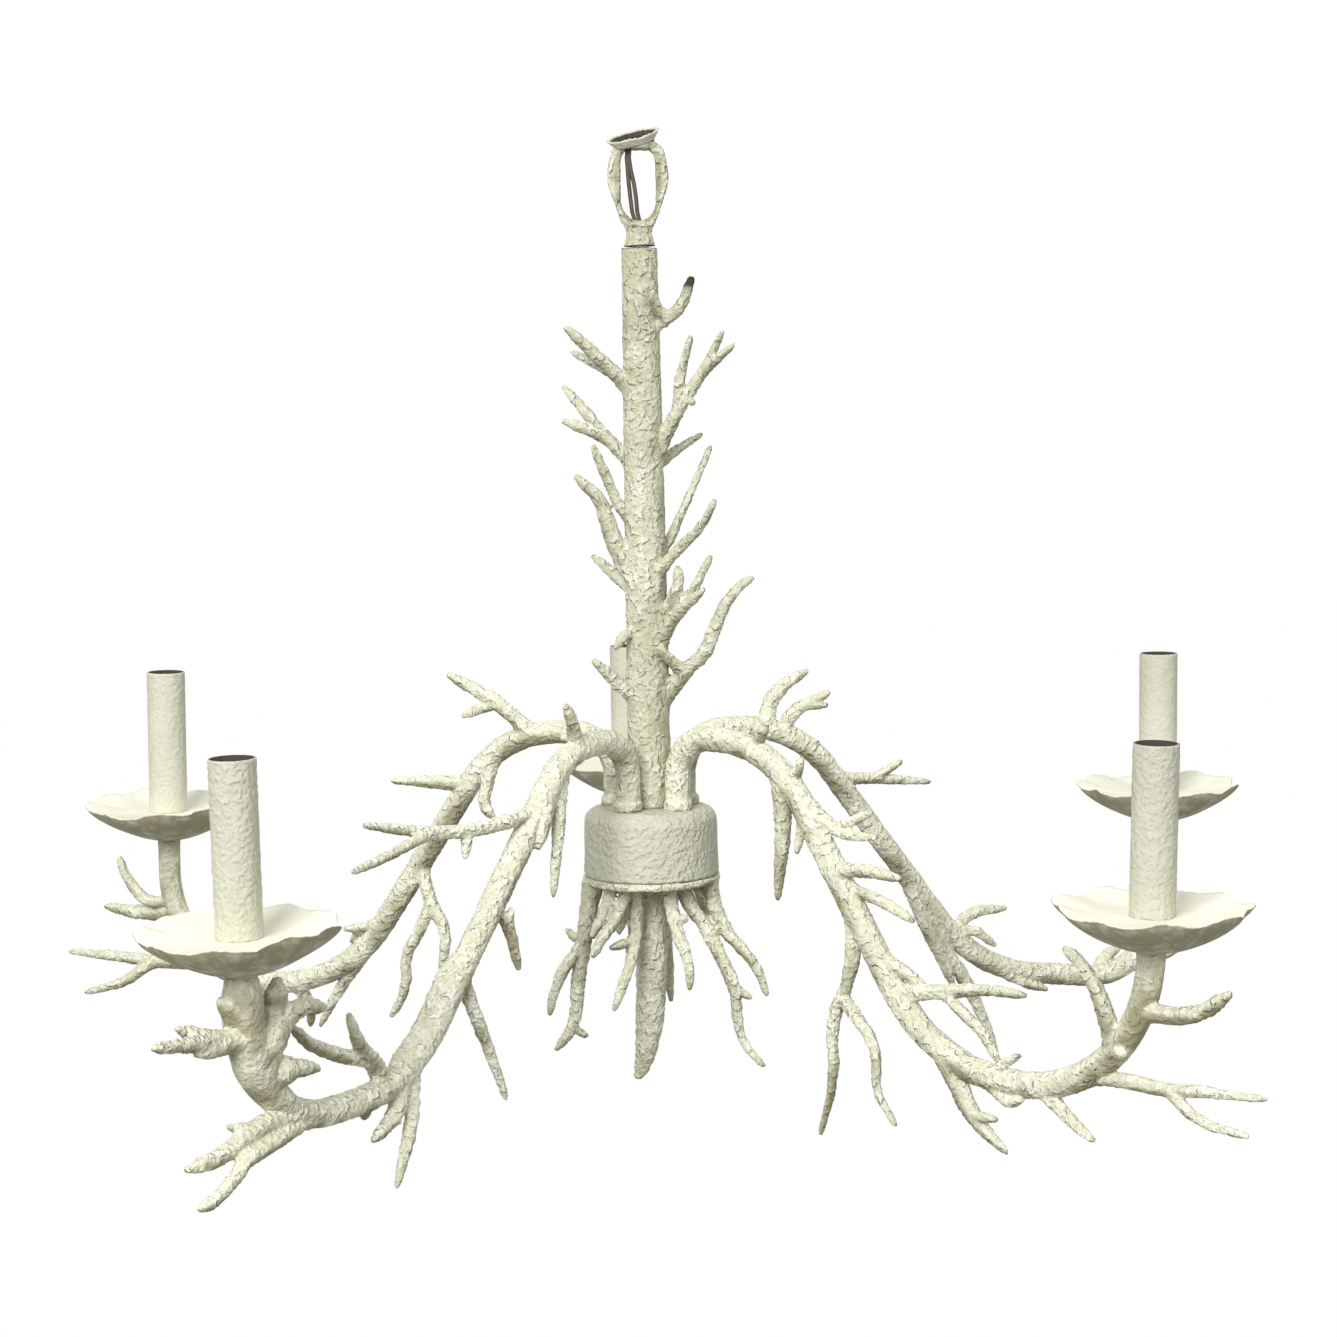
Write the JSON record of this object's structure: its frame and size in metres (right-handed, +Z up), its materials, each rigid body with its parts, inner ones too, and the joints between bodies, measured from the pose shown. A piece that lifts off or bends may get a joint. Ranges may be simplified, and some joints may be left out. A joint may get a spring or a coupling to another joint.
{
  "type": "chandelier",
  "caption": "Hanging chandelier in coral branch form: slotted yoke, twigged column, hub, curved arms with scalloped dishes and lift-off candle sleeves, roots below.",
  "frame": {"origin": "centre of the threaded hanging hole in the yoke's top face", "axes": "+Z up along the column, -Y towards the viewer, +X to the viewer's right"},
  "size_m": [0.8515, 0.8222, 0.6433],
  "materials": {
    "stucco": "rough cream paint with olive shading in the hollows",
    "sleeve": "rough cream paint",
    "zinc": "zinc plated",
    "socket": "matte",
    "block": "matte",
    "wire": "satin insulation"
  },
  "bodies": {
    "frame": {"arm_back_left": "stucco", "arm_back_right": "stucco", "arm_front_left": "stucco", "arm_front_right": "stucco", "arm_nuts": "zinc", "arm_rear": "stucco", "bracket_back_left": "zinc", "bracket_back_right": "zinc", "bracket_front_left": "zinc", "bracket_front_right": "zinc", "bracket_rear": "zinc", "candle_nipples": "zinc", "candle_nuts": "zinc", "center_pipe": "zinc", "collar_ring": "stucco", "column": "stucco", "cover_bar": "zinc", "cover_nut": "zinc", "cover_stud": "zinc", "dish_back_left": "stucco", "dish_back_right": "stucco", "dish_front_left": "stucco", "dish_front_right": "stucco", "dish_rear": "stucco", "finial_spike": "stucco", "hanging_yoke": "stucco", "hub_cup": "stucco", "junction_block": "block", "lead_back_left": "wire", "lead_back_right": "wire", "lead_front_left": "wire", "lead_front_right": "wire", "lead_rear": "wire", "pipe_nut": "zinc", "root_cover": "stucco", "socket_back_left": "socket", "socket_back_right": "socket", "socket_front_left": "socket", "socket_front_right": "socket", "socket_rear": "socket", "supply_lead": "wire"},
    "sleeve_front_left": {"sleeve_front_left": "sleeve"},
    "sleeve_front_right": {"sleeve_front_right": "sleeve"},
    "sleeve_back_left": {"sleeve_back_left": "sleeve"},
    "sleeve_back_right": {"sleeve_back_right": "sleeve"},
    "sleeve_rear": {"sleeve_rear": "sleeve"}
  },
  "joints": [
    {"name": "sleeve_front_left_lift", "type": "slide", "parent": "frame", "child": "sleeve_front_left", "axis": [-0.0061, -0.0085, 0.9999], "range_m": [0, 0.11]},
    {"name": "sleeve_front_right_lift", "type": "slide", "parent": "frame", "child": "sleeve_front_right", "axis": [0.0206, -0.0188, 0.9996], "range_m": [0, 0.11]},
    {"name": "sleeve_back_left_lift", "type": "slide", "parent": "frame", "child": "sleeve_back_left", "axis": [0.0195, -0.0077, 0.9998], "range_m": [0, 0.11]},
    {"name": "sleeve_back_right_lift", "type": "slide", "parent": "frame", "child": "sleeve_back_right", "axis": [0.0065, 0.0024, 1], "range_m": [0, 0.11]},
    {"name": "sleeve_rear_lift", "type": "slide", "parent": "frame", "child": "sleeve_rear", "axis": [0.0004, -0.0087, 1], "range_m": [0, 0.11]}
  ]
}
